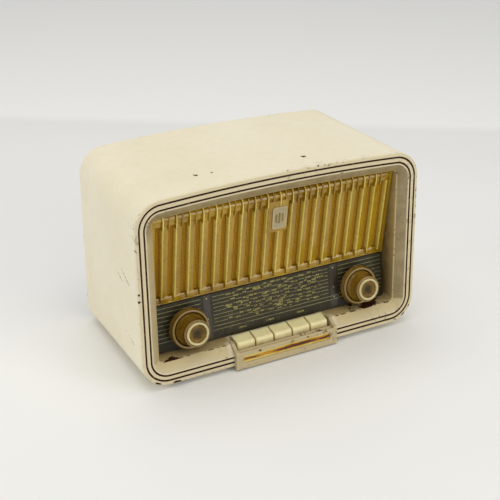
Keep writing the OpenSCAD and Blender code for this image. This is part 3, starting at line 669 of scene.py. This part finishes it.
def cabinet():
    """One closed skin, lofted from inside the opening round the frame, the shell and back inside."""
    rings, edge, dark, grime_and_shade, painted_shade, bare = [], [], [], [], [], []
    sill, right = 27, 100    # below the one height: the opening's sill; past the other: its right end

    def ring(points, wear=0.0, brown=False, darken=0.0, shade_amount=0.0, lost=None):
        rings.append(points)
        edge.append(wear)
        dark.append(brown)
        grime_and_shade.append(darken)
        painted_shade.append(shade_amount)
        bare.append(lost)

    def tray(x, z):
        """Paint lost from the sill: a wide patch by the right knob, dashes elsewhere."""
        if z > sill - 1:
            return 0.0
        return 0.75 * math.exp(-((x - 99) / 22) ** 2) + 0.45 * math.exp(-((x + 112) / 16) ** 2) + 0.12

    def shade(x, z):
        """Painted shade on the bevel, darkest along the top and the right, faint on the sill."""
        if z < sill:
            return 0.05
        return 0.68 if z > 150 or x > right else 0.34

    def lip_loss(x, z):
        return 0.62 if z < sill else 0.25

    def rim_loss(x, z):
        return 0.2 if z > 165 else 0.42

    # painted shade inside the opening: darker further in, and nearly twice as dark on the right wall
    def recess_shade(shade_amount):
        return lambda x, z: min(1.0, shade_amount * (1.0 if z < sill or x < right else 1.9))

    # inside the opening: the yellow tone is partly soiling, partly a painted reflection of the gold parts
    for y, shade_amount in ((36, 0.95), (27, 0.8), (22, 0.55), (16, 0.38), (11, 0.24), (8.6, 0.18)):
        ring(on_front(opening(0), y), darken=1.0, shade_amount=recess_shade(shade_amount), lost=tray)
    ring(on_front(opening(0.1), 7.8), 0.9, darken=0.7, lost=lip_loss)
    ring(on_front(opening(0.5), 7.1), 0.9, darken=0.6, lost=lip_loss)
    inner, lip = opening(0.9), face_outline(136.0)
    # the bevel: painted shade, and a yellow tone that is partly soiling, partly painted shade
    for t in (0.0, 0.1, 0.25, 0.4, 0.55, 0.7, 0.85, 0.96):
        mid = [(a[0] + (b[0] - a[0]) * t, a[1] + (b[1] - a[1]) * t) for a, b in zip(inner, lip)]
        ring(on_front(mid, 6.8 - 6.2 * t), 0.12, darken=0.95 - 0.35 * t, shade_amount=shade)
    # the front face: a yellow tone that is partly soiling, partly painted shade where it faces away from the
    # lights
    ring(on_front(face_outline(136.2), 0.2), 0.9, darken=0.45)
    ring(on_front(face_outline(136.7), 0.0), 0.7, darken=0.5)
    for g in GROOVES:
        ring(on_front(face_outline(g), 0.0), 0.3, darken=0.55)
        ring(on_front(face_outline(g + 0.1), GROOVE_DEEP), brown=True)
        ring(on_front(face_outline(g + GROOVE_W), GROOVE_DEEP), brown=True)
        ring(on_front(face_outline(g + GROOVE_W + 0.1), 0.0), 0.3, brown=True, darken=0.55)
    ring(on_front(face_outline(145.4), 0.0), 0.5, darken=0.5, lost=rim_loss)
    front_edge = on_front(face_outline(HALF_W), 1.6)
    ring(on_front(face_outline(146.3), 0.1), 1.0, darken=0.5, lost=rim_loss)
    ring(on_front(face_outline(146.8), 0.6), 1.0, darken=0.3, lost=rim_loss)
    ring(front_edge, 0.9, darken=0.15, lost=lip_loss)
    back_edge = on_row(rear_outline(0), REAR_Y - 1.4)
    for t in (0.02, 0.06, 0.15, 0.3, 0.45, 0.6, 0.75, 0.88, 0.96):
        points = [a.lerp(b, t) for a, b in zip(front_edge, back_edge)]
        ring(points, 0.35 if t < 0.05 else 0.03)
    ring(back_edge, 0.5)
    ring(on_row(rear_outline(0.25), REAR_Y - 0.5), 0.8)
    ring(on_row(rear_outline(0.8), REAR_Y), 0.8)
    ring(on_row(rear_outline(1.6), REAR_Y), 0.5)
    ring(on_row(rear_outline(1.75), COVER_Y), 0.0, darken=1.0)
    ring(on_row(rear_outline(3.5), COVER_Y), 0.0, darken=1.0)
    ring(on_row(rear_outline(3.6), COVER_Y - 1), 0.0, darken=1.0)
    ring(on_front(face_outline(HALF_W - WALL), 4.2), 0.0, darken=1.0)
    ring(on_front(face_outline(141), 4.4), darken=1.0)
    ring(on_front(opening(3.4), 11), darken=1.0)
    ring(on_front(opening(3.0), 36), darken=1.0)

    verts, faces = loft(rings, closed=True)
    count = len(rings[0])
    spread = {"edge": [w for w in edge for _ in range(count)],
              "grime_and_shade": [d for d in grime_and_shade for _ in range(count)],
              "painted_shade": [d(p.x, p.z) if callable(d) else d for d, points in zip(painted_shade, rings) for p in points],
              "bare": [lost(p.x, p.z) if lost else 0.0 for lost, points in zip(bare, rings) for p in points]}
    last = len(rings)
    picks = [1 if dark[k] and dark[(k + 1) % last] else 0 for k in range(last) for _ in range(count)]
    chips = [((0.0345, -0.0405, 0.1858), 0.0026), ((-0.0655, 0.0035, 0.1858), 0.0013),
             ((-0.073, -0.034, 0.1845), 0.0022), ((-0.058, -0.036, 0.1848), 0.0012),
             ((-0.1465, -0.070, 0.092), 0.0016), ((-0.1463, -0.070, 0.099), 0.0012),
             ((-0.1465, -0.072, 0.126), 0.0011), ((-0.1455, -0.052, 0.118), 0.0008),
             ((0.109, -0.020, 0.181), 0.0011), ((-0.146, -0.069, 0.070), 0.0012)]
    scratches, marks = [], random.Random(3)
    for _ in range(5):
        y, z = marks.uniform(-40, 50) * MM, marks.uniform(45, 145) * MM
        run, width = marks.uniform(5, 24) * MM, marks.uniform(0.4, 0.6) * MM
        scratches.append(((y, z), (y - run, z - run * marks.uniform(0.1, 0.6)), width))
    paint = paint_material("cream_paint", chips, scratches)
    shell = lay("cabinet_shell", verts, faces, ROW, [paint, groove_material()],
                attributes=spread, picks=picks)
    # room for the key surround, for the keys behind it, and holes for the feet
    cutters = []
    for half, near, far in ((SURROUND_HALF + 0.2, -3, 13), (51.5, 12, 22)):
        room = Pile()
        room.block(-half, half, near, far, -0.5, 20)
        cutters.append(room.lay("cut_keys", FRONT))
    stem = lathe([(0, -1), (4.6, -1), (4.6, 6.4), (0, 6.4)], 32)
    cutters += [lay("cut_foot", *stem, shift(x, y, 0), []) for x in (-112, 66) for y in (-1, 56)]
    carve(shell, *cutters)
    shell.data.polygons.foreach_set("use_smooth", [True] * len(shell.data.polygons))
    split = shell.modifiers.new("normals", "WEIGHTED_NORMAL")
    split.keep_sharp = True
    mark_sharp(shell, 32)
    piece(shell, "radio", "cabinet", slot="cabinet")


def mark_sharp(obj, degrees):
    """Marks edges sharper than an angle, so that flat faces stay flat."""
    work = bmesh.new()
    work.from_mesh(obj.data)
    limit = math.radians(degrees)
    for e in work.edges:
        if len(e.link_faces) == 2 and e.calc_face_angle(0) > limit:
            e.smooth = False
    work.to_mesh(obj.data)
    work.free()


# ---------------------------------------------------------------- grille
FLANGE = [(-3.2, 0.9), (0, 0.9), (0, 6.4), (-2.0, 6.4), (-2.6, 5.6), (-3.2, 2.6)]
GUTTER = [(-4.6, 0.9), (-3.1, 0.9), (-3.1, 2.5), (-4.2, 2.5)]
HEADER = [(0, 80), (-3.0, 80.4), (-3.6, 81.5), (-3.7, 85.5), (-4.5, 86.6), (-4.6, 87.8), (-3.6, 89.2),
          (-1.6, 90.4), (0, 90.4)]
HOOK = [(-1, 77), (-5.0, 77), (-6.0, 79), (-6.3, 83), (-6.1, 87), (-5.0, 90), (-3.2, 92.0), (-1, 92.6)]
FOOT = [(-1, 1.6), (-4.4, 1.6), (-4.9, 3.0), (-5.1, 6.6), (-3.5, 8.6), (-1, 9.2)]


def grille():
    """Moulded grille: flange, header, slanted ribs with hooked upper ends and stepped feet."""
    pile = Pile()
    for profile in (FLANGE, GUTTER, HEADER):
        pile.prism(profile, -GRILLE_HALF, GRILLE_HALF, "x")
    w, edge = RIB_W / 2, GRILLE_HALF + 0.1
    for i in range(RIBS):
        x = (i - (RIBS - 1) / 2) * RIB_PITCH
        section = [(x - w, 0), (x - w, -3.4), (x - w + 0.25, -4.6), (x - w + 0.8, -5.0), (x - w + 1.5, -4.7),
                   (x + w - 1.4, -3.5), (x + w - 0.5, -3.1), (x + w, -2.4), (x + w, 0)]
        section = [(min(max(px, -edge), edge), py) for px, py in section]
        # the rib's left flank takes the pale gold: a painted highlight
        pile.prism(section, 4, 82, "z", bright=(0, 1, 2, 3))
        if abs(x) + w > GRILLE_HALF:
            continue
        # a thin wall hooked over the header on each side of the rib, and its foot on the flange
        # this wall's faces all take the pale gold, the same painted highlight
        pile.prism(HOOK, x - w - 0.1, x - w + 1.2, "x", bright=range(len(HOOK) + 1))
        pile.prism([(y * 0.86, z) for y, z in HOOK[1:]] + [(-1, 84)], x + w - 1.2, x + w, "x")
        pile.prism(FOOT, x - w - 0.2, x + w + 0.2, "x")
    # panel behind the badge, and the two end walls
    lo, hi = BADGE_X - 12.5, BADGE_X + 9.5
    corners = arc(lo + 1.2, -4.4, 1.2, 180, 270, 4) + arc(hi - 1.2, -4.4, 1.2, 270, 360, 4)
    pile.prism([(lo, 0)] + corners + [(hi, 0)], 52, 84, "z")
    for s in (-1, 1):
        lo, hi = sorted((s * GRILLE_HALF, s * (GRILLE_HALF - 3)))
        pile.block(lo, hi, -5.2, 0, 0.9, 92)
    gold = gold_plastic("grille_plastic", linear(146, 110, 2), linear(188, 150, 20), 0.18, 0.45)
    # pale gold that paints the highlight on the ribs' left flanks
    flank_highlight = gold_plastic("grille_painted_highlight", linear(208, 180, 62), linear(240, 220, 116), 0.14, 0.3)
    obj = pile.lay("grille_moulding", SLOPE, gold, flank_highlight)
    rounded(obj, 0.35, 2, 25)
    piece(obj, "radio", "speaker_grille", slot="speaker_grille")


def grille_cloth():
    """One sheet of woven cloth stretched on the baffle, very slightly uneven."""
    nx, nz = 96, 40
    foot, sag = 0.9, 3.1    # lower edge over the dial; how much lower the top corners are
    verts = []
    for j in range(nz + 1):
        for i in range(nx + 1):
            x = (i / nx - 0.5) * CLOTH_W
            z = foot + j / nz * (CLOTH_H - sag * (x / GRILLE_HALF) ** 2)
            verts.append((x, 0.45 + 0.18 * noise.noise(Vector((x * 0.05, z * 0.05, 3.0))), z))
    cloth = lay("grille_cloth_sheet", verts, grid_faces(nx, nz), SLOPE, cloth_material())
    piece(cloth, "radio", "grille_cloth", slot="grille_cloth")


def round_rect(hx, hz, r, steps=5):
    """Rounded rectangle of half sizes hx, hz and corner radius r."""
    return (arc(hx - r, hz - r, r, 0, 90, steps) + arc(r - hx, hz - r, r, 90, 180, steps)
            + arc(r - hx, r - hz, r, 180, 270, steps) + arc(hx - r, r - hz, r, 270, 360, steps))


# half width, half height, corner, y; the last one twice, so that the middle is shaded apart
BADGE_RINGS = ((7.4, 11.2, 2.4, -5.5), (7.5, 11.3, 2.5, -6.3), (7.2, 11.0, 2.3, -6.6),
               (6.5, 10.3, 1.8, -6.6), (6.3, 10.1, 1.7, -6.2), (6.3, 10.1, 1.7, -6.2))
BAR_PITCH = 3.4


def badge():
    """Plain plaque with a raised rim and three bars."""
    rings = [[(BADGE_X + x, y, BADGE_Z + z) for x, z in round_rect(hx, hz, r)]
             for hx, hz, r, y in BADGE_RINGS]
    verts, faces = loft(rings)
    count = len(rings[0])
    faces += [tuple(range(count)), tuple(range((len(rings) - 1) * count, len(rings) * count))]
    ivory = ivory_material("badge_ivory", linear(206, 190, 146), linear(150, 120, 60))
    body = lay("badge_plaque", verts, faces, SLOPE, ivory)
    bars = Pile()
    for k in (-1, 0, 1):
        bar = round_rect(0.8, 5.4 - 1.2 * abs(k), 0.7, 3)
        bars.prism([(BADGE_X + x + k * BAR_PITCH, z + BADGE_Z) for x, z in bar], -6.7, -6.1)
    gold = gold_plastic("badge_gold", linear(120, 96, 40), linear(160, 134, 60))
    marks = bars.lay("badge_bars", SLOPE, gold)
    rounded(marks, 0.15)
    piece(body, "radio", "badge", slot="badge")
    piece(marks, "radio", slot="badge")


# ---------------------------------------------------------------- dial
def dial_glass():
    """Dark back-printed glass plate with holes for the two spindles."""
    pile = Pile()
    pile.block(-GRILLE_HALF, GRILLE_HALF, GLASS_Y, GLASS_Y + GLASS_THICK, 0.8, 46.3)
    plate = pile.lay("dial_plate", DIAL, dial_material())
    hole = lathe([(0, 0), (6.6, 0), (6.6, 9), (0, 9)], 48)
    carve(plate, *[lay("cut_d", *hole, knob_axis(s * KNOB_X), []) for s in (-1, 1)])
    rounded(plate, 0.3)
    piece(plate, "radio", "dial_glass", slot="dial_glass")


def stroke_glyph(pile, x, z, high, y):
    """A meaningless small mark of two or three strokes, to look like print at a distance."""
    thin, wide = 0.26, 0.75
    kind = RNG.randrange(6)
    if kind != 5:
        pile.flat(x, x + thin, z, z + high, y)
    if kind in (1, 3, 5):
        pile.flat(x, x + wide, z + high - thin, z + high, y)
    if kind in (2, 3, 5):
        pile.flat(x, x + wide, z, z + thin, y)
    if kind in (0, 4, 1):
        pile.flat(x + wide - thin, x + wide, z, z + high, y)
    if kind in (4, 5):
        pile.flat(x, x + wide, z + high / 2 - thin / 2, z + high / 2 + thin / 2, y)
    return wide + 0.28


def dial_print():
    """Scale lines, rows of small station marks between them, side ladders and foot lines."""
    lines, marks = Pile(), Pile()
    y = GLASS_Y - 0.06
    thick = 0.42
    for s in (-1, 1):
        for k in range(9):
            z = 43.0 - 4.05 * k
            lo, hi = sorted((s * 75.0, s * (125.5 - 0.6 * (k % 2))))
            lines.flat(lo, hi, z, z + thick, y)
        for k in (0, 4, 6):
            z = 42.0 - 5.0 * k
            marks.flat(s * LADDER_X - 0.6, s * LADDER_X + 0.6, z, z + 1.1, y)
    x_end = LADDER_X - 6.0
    for row in range(8):
        z = 42.6 - 3.6 * row
        x = -x_end
        lead = RNG.uniform(6, 26)
        lines.flat(x, x + lead, z, z + thick, y)
        x += lead + 1.2
        while x < x_end - 12:
            drop = RNG.choice((-0.7, 0.0, 1.0))
            for _ in range(RNG.randrange(3, 8)):
                x += stroke_glyph(marks, x, z + drop - 0.5, 1.5, y)
            x += 0.8
            run = RNG.choice((1.5, 2.5, 4.0, 7.0))
            if RNG.random() < 0.75 and x + run < x_end:
                lines.flat(x, x + run, z, z + thick, y)
                x += run + 0.8
        if x < x_end:
            lines.flat(x, x_end, z, z + thick, y)
        for _ in range(3):
            px = RNG.uniform(-40, 50)
            for _ in range(RNG.randrange(2, 6)):
                px += stroke_glyph(marks, px, z - 2.1, 1.2, y)
    # two unbroken foot lines, the captions under them and a small framed box
    for z in (13.6, 9.9):
        lines.flat(-65, 74, z, z + thick, y)
    lines.flat(73.6, 74.0, 9.9, 13.9, y)
    for start in (-38, -8, 26):
        x = start
        for _ in range(8):
            x += stroke_glyph(marks, x, 5.6, 1.7, y)
    line_ink = print_material("dial_lines", linear(176, 172, 104), linear(112, 108, 66))
    name_ink = print_material("dial_names", linear(214, 202, 104), linear(150, 140, 66))
    piece(lines.lay("dial_line_print", DIAL, line_ink), "radio", slot="dial_glass")
    piece(marks.lay("dial_name_print", DIAL, name_ink), "radio", slot="dial_glass")


def dial_bars():
    """The two darker upright bands that part the side ladders from the names."""
    pile = Pile()
    for s in (-1, 1):
        pile.flat(s * LADDER_X - 3.6, s * LADDER_X + 3.6, 2.2, 45.6, GLASS_Y - 0.03)
    band = print_material("dial_dark_band", linear(50, 44, 36), linear(64, 56, 44))
    piece(pile.lay("dial_bars", DIAL, band), "radio", slot="dial_glass")


# ---------------------------------------------------------------- knobs
# (radius, height over the glass)
RING_PROFILE = [(5.1, 8.6), (5.1, 13.9), (15.6, 13.9), (15.9, 14.2), (16.05, 16.5), (16.6, 17.25),
                (17.3, 17.4), (18.1, 17.15), (18.55, 16.5), (18.75, 15.3), (18.9, 14.95), (19.3, 14.6),
                (19.5, 13.9), (19.5, 12.1), (19.3, 11.3), (18.2, 9.7), (15.2, 8.6)]
KNOB_PROFILE = [(3.2, 15.1), (13.6, 15.1), (14.7, 15.25), (15.2, 15.7), (15.3, 16.3), (14.9, 17.0),
                (14.0, 18.0), (13.2, 19.6), (12.75, 21.6), (12.4, 24.4), (12.4, 26.6), (12.6, 28.4),
                (12.85, 29.6), (12.8, 30.3), (12.4, 30.8), (11.7, 31.0), (11.05, 30.9), (10.95, 29.4),
                (3.2, 28.0)]
RIM_PROFILE = [(8.2, 29.5), (10.85, 29.5), (10.9, 31.5), (10.65, 32.1), (10.1, 32.4), (9.6, 32.4),
               (9.0, 32.1), (8.6, 31.4), (8.4, 30.6)]
DISH_PROFILE = [(0, 29.5), (8.3, 29.5), (8.35, 30.8), (7.6, 30.85), (6.8, 30.6), (5.0, 30.2),
                (2.6, 29.9), (0, 29.8)]


def dish_material():
    """Dark gold centre with turned rings."""
    n = Nodes("knob_dish")
    # here the attribute holds the square of the distance from the middle: the dish is darker towards the
    # middle
    far = n.ramp(n.attribute("grime_and_shade"), 0.0, 1.0)
    colour = n.mix(far, linear(58, 48, 28), linear(150, 116, 40))
    stain = n.times(n.patchy((220.0, 5.0, 0.7), 0.45, 0.62), 0.7)
    colour = n.mix(stain, colour, linear(52, 38, 20))
    return n.finish(n.noise(520.0, 3.0), 0.12, 0.0003,
                    Base_Color=colour, Roughness=0.34, Metallic=0.25, Specular_IOR_Level=0.3)


def turned(name, profile, place, material, key, wear):
    """A lathe piece; wear gives the value of attribute key from a point's radius and height."""
    verts, faces = lathe(profile)
    values = [wear(math.hypot(x, y), z) for x, y, z in verts]
    return lay(name, verts, faces, place, material, attributes={key: values})


def knobs():
    """Outer ring, front knob, ivory rim and dark dish on each side."""
    ring_gold = gold_plastic("ring_plastic", linear(92, 64, 0), linear(134, 100, 8), 0.24, 0.9)
    knob_gold = gold_plastic("knob_plastic", linear(98, 68, 0), linear(144, 108, 8), 0.2, 0.8)
    ivory = ivory_material("knob_rim_ivory", linear(232, 220, 162), linear(120, 86, 30))
    dish = dish_material()
    sets = ((-KNOB_X, "volume_control", "tone_control", "volume", "tone_ring"),
            (KNOB_X, "fm_control", "tuning_control", "fm", "tuning_ring"))
    for x, inner, outer, name, ring_node in sets:
        place = knob_axis(x)
        # the attribute rim paints a beige highlight on the ring's front rim and along its back edge
        ring = tidy(turned(f"{ring_node}_body", RING_PROFILE, place, ring_gold, "rim",
                           lambda r, z: 0.6 if z > 16.8 or (10.5 < z < 12.2 and r > 19) else 0.0))
        mark_sharp(ring, 50)
        piece(ring, outer, ring_node, slot=ring_node)
        # a painted highlight on the knob's front rim
        knob = tidy(turned(f"{name}_knob_body", KNOB_PROFILE, place, knob_gold, "rim",
                           lambda r, z: 0.45 if 29.4 < z < 30.9 else 0.0))
        mark_sharp(knob, 50)
        piece(knob, inner, f"{name}_knob", slot=f"{name}_knob")
        rim = turned(f"{name}_rim", RIM_PROFILE, place, ivory, "grime_and_shade", lambda r, z: 1.0 if r < 8.7 else 0.25)
        piece(rim, inner, f"{name}_insert", slot=f"{name}_insert")
        centre = turned(f"{name}_dish", DISH_PROFILE, place, dish, "grime_and_shade",
                        lambda r, z: min(1.0, r / 8.0) ** 2)
        piece(tidy(centre), inner, slot=f"{name}_insert")


# ---------------------------------------------------------------- keys and their surround
def key_cap(index, material):
    """Rounded piano key: domed top that slopes to the front, nose rolled under."""
    x, half = (index - 3) * KEY_PITCH, KEY_HALF
    side = ([(18.35, 7.0), (18.4, 12.0), (18.4, 16.6)] + arc(16.6, 17.0, 1.75, 0, 100, 6)
            + [(13.5, 18.05), (10.5, 17.25)] + arc(7.5, 13.6, 2.9, 100, 176, 8) + [(4.35, 10.0), (4.4, 7.0)])
    centre = (11.4, 11.8)
    rings = []
    slices = [(-half, 1.5, 0.0), (-half + 0.18, 0.75, 0.0), (-half + 0.6, 0.28, 0.0),
              (-half + 1.3, 0.05, 0.0), (-half + 3.2, 0.0, 0.12), (-3.2, 0.0, 0.3)]    # offset, inset, dip
    slices += [(0, 0.0, 0.36)] + [(-px, inset, dip) for px, inset, dip in reversed(slices)]
    for px, inset, dip in slices:
        ring = []
        for py, pz in side:
            away = math.hypot(py - centre[0], pz - centre[1])
            k = 1 - inset / away if pz > 8 else 1.0
            top = 1.0 if pz > 15.5 else 0.0
            ring.append((x + px, centre[0] + (py - centre[0]) * k,
                         centre[1] + (pz - centre[1]) * k - dip * top))
        rings.append(ring)
    verts, faces = loft(rings)
    count = len(side)
    faces += [tuple(range(count)), tuple(range((len(rings) - 1) * count, len(rings) * count))]
    grime_and_shade = [max(0.0, min(1.0, (13.0 - v[2]) / 5.0)) + (0.55 if abs(abs(v[0] - x) - half) < 0.4 else 0.0)
             for v in verts]
    cap = lay(f"keycap_{index}_top", verts, faces, FRONT, material, attributes={"grime_and_shade": grime_and_shade})
    mark_sharp(cap, 60)
    piece(cap, f"key_{index}", f"keycap_{index}", slot="keycap")


# (y, z) in the leaning face's frame
SURROUND_BAR = [(-4.0, -7.0), (-0.1, -7.0), (-0.1, 4.8), (2.8, 4.8), (2.8, 9.0), (2.4, 10.1), (1.4, 10.2),
                (1.0, 9.0), (-2.2, 8.9), (-2.7, 9.9), (-3.4, 10.0), (-4.0, 9.4)]
SURROUND_WALL = [(-4.0, -7.0), (-4.05, 9.3), (-3.4, 10.6), (1.0, 12.6), (6.0, 16.6), (8.0, 17.1),
                 (12.5, 17.2), (12.6, 9.0), (6.0, 0.3), (-0.1, 0.3), (-0.1, -7.0)]
STRIP_Z = 2.6    # middle height of the recess and its strip


def escutcheon():
    """Beige surround standing proud of the frame, with a long recess in its face."""
    pile = Pile()
    inner = SURROUND_HALF - CHEEK
    pile.prism(SURROUND_BAR, -inner - 0.15, inner + 0.15, "x")
    for s in (-1, 1):
        pile.prism(SURROUND_WALL, *sorted((s * inner, s * SURROUND_HALF)), "x")
    chips = [((-0.030, -0.0795, 0.0165), 0.0016), ((0.022, -0.0795, 0.0168), 0.0012)]
    body = pile.lay("escutcheon_body", FRONT, paint_material("escutcheon_paint", chips))
    cut = Pile()
    cut.prism([(x, z + STRIP_Z) for x, z in round_rect(47.4, 3.8, 2.0)], -6, -2.4)
    carve(body, cut.lay("cut_e", FRONT, smooth=True))
    # the whole surround is a little darker: painted shade and the yellow tone, as on the front of the frame
    for key, value in (("edge", lambda z: 0.9 if z > 0.0165 else 0.45), ("grime_and_shade", lambda z: 0.75),
                       ("painted_shade", lambda z: 0.24)):
        layer = body.data.attributes.new(key, "FLOAT", "POINT")
        layer.data.foreach_set("value", [value(v.co.z) for v in body.data.vertices])
    rounded(body, 0.5, 3)
    piece(body, "radio", "escutcheon", slot="escutcheon")
    foil = Pile()
    foil.block(-47.1, 47.1, -2.95, -2.45, -1.0, 6.2)
    foil.prism([(x, z + STRIP_Z) for x, z in round_rect(43.5, 1.5, 1.3)], -3.15, -2.9)
    bar = foil.lay("escutcheon_foil", FRONT, strip_material())
    rounded(bar, 0.2)
    piece(bar, "radio", "escutcheon_strip", slot="escutcheon_strip")


# ---------------------------------------------------------------- inside and back
def dress_nodes():
    """Procedural finishes for the CAD nodes that stay as they are."""
    steel = metal_material("plated_steel", linear(176, 174, 166), 0.36)
    dull = metal_material("chassis_steel", linear(150, 152, 150), 0.5, tarnish=0.5)
    bright = metal_material("can_aluminium", linear(206, 208, 210), 0.3, brushed=(1, 1, 0.05))
    brass = metal_material("brass", linear(196, 162, 92), 0.3)
    iron = metal_material("varnished_iron", linear(58, 50, 44), 0.5, 0.5)
    grey = metal_material("basket_paint", linear(92, 96, 94), 0.5, 0.2)
    pale = metal_material("backplate_paint", linear(196, 194, 176), 0.6, 0.1)
    red = metal_material("pointer_enamel", linear(196, 44, 24), 0.35, 0.0)
    brown = moulded_material("brown_laminate", linear(86, 54, 32))
    tan = moulded_material("nylon", linear(206, 190, 150), 0.45)
    pale_mould = moulded_material("socket_moulding", linear(200, 196, 176), 0.5)
    rubber = moulded_material("rubber", linear(28, 27, 26), 0.75)
    paper = board_material("cone_paper", linear(60, 54, 48), linear(30, 27, 24))
    board = board_material("baffle_fibre", linear(132, 96, 60), linear(84, 58, 34))
    hard = board_material("back_hardboard", linear(128, 88, 52), linear(78, 50, 28))
    cord = moulded_material("waxed_cord", linear(168, 152, 112), 0.7)
    bulb = glass_material("bulb_glass", (0.93, 0.96, 0.96))
    lamp = glass_material("lamp_glass", (0.98, 0.93, 0.78))
    finish = (
        (steel, "key_frame key_shaft volume_shaft fm_shaft chassis_screws key_lever_1 key_lever_2 key_lever_3"
                " key_lever_4 key_lever_5"),
        (bright, "capacitor_frame capacitor_rotor if_can_1 if_can_2 filter_capacitor"),
        (iron, "mains_transformer output_transformer speaker_magnet"),
        (bulb, "valve_1 valve_2 valve_3 valve_4 valve_5"), (brass, "tone_sleeve tuning_sleeve back_screws"),
        (brown, "dual_control cord_drum socket_strip"), (dull, "fm_tuner chassis"), (board, "baffle_board"),
        (pale, "dial_backplate"), (red, "dial_pointer"), (lamp, "dial_lamps"), (tan, "idler_pulley"),
        (cord, "dial_cord"), (pale_mould, "valve_sockets"), (grey, "speaker_basket"), (paper, "speaker_cone"),
        (hard, "back_cover"), (rubber, "feet"))
    for material, names in finish:
        for name in names.split():
            obj = NODES[name]
            if not obj.material_slots:
                obj.data.materials.append(material)
            for slot in obj.material_slots:
                slot.material = material


# ---------------------------------------------------------------- stage
def stage():
    """Pale seamless paper, laid flat and painted a touch lighter past the line where the real paper rises,
    and soft studio light.
    """
    reach, steps = 7000.0, 14    # mm from the middle to the edge, squares along it
    spots = [-reach + 2 * reach * i / steps for i in range(steps + 1)]
    verts = [(x, y, 0.0) for y in spots for x in spots]
    lay("stage_floor", verts, grid_faces(steps, steps), ROW, floor_material())

    def area(name, spot, aim, size, power, colour):
        """Rectangular light of size metres at spot, turned to aim; power in watts."""
        light = bpy.data.lights.new(name, "AREA")
        light.shape = "RECTANGLE"
        light.size, light.size_y = size
        light.energy = power
        light.color = colour
        obj = bpy.data.objects.new(name, light)
        bpy.context.scene.collection.objects.link(obj)
        obj.location = spot
        obj.rotation_euler = (Vector(aim) - Vector(spot)).to_track_quat("-Z", "Y").to_euler()

    area("light_top", (-0.1, 0.0, 1.6), (0, 0.02, 0.1), (1.5, 1.4), 9.6, (1.0, 0.99, 0.965))
    area("light_left", (-1.75, 0.25, 0.75), (0, 0, 0.1), (0.9, 0.9), 5.5, (1.0, 0.985, 0.96))
    area("light_fill", (0.9, -1.7, 0.9), (0, 0, 0.08), (0.9, 0.8), 7.5, (1.0, 0.99, 0.97))
    world = bpy.data.worlds.new("world")
    bpy.context.scene.world = world
    world.use_nodes = True
    sky = world.node_tree.nodes["Background"]
    sky.inputs["Color"].default_value = (1.0, 0.995, 0.98, 1.0)
    sky.inputs["Strength"].default_value = 0.54
    bpy.context.scene.view_settings.view_transform = "Standard"


cabinet()
grille()
grille_cloth()
badge()
dial_glass()
dial_bars()
dial_print()
knobs()
key_ivory = ivory_material("key_ivory", linear(255, 244, 186), linear(158, 108, 36))
for number in range(1, 6):
    key_cap(number, key_ivory)
escutcheon()
dress_nodes()
stage()
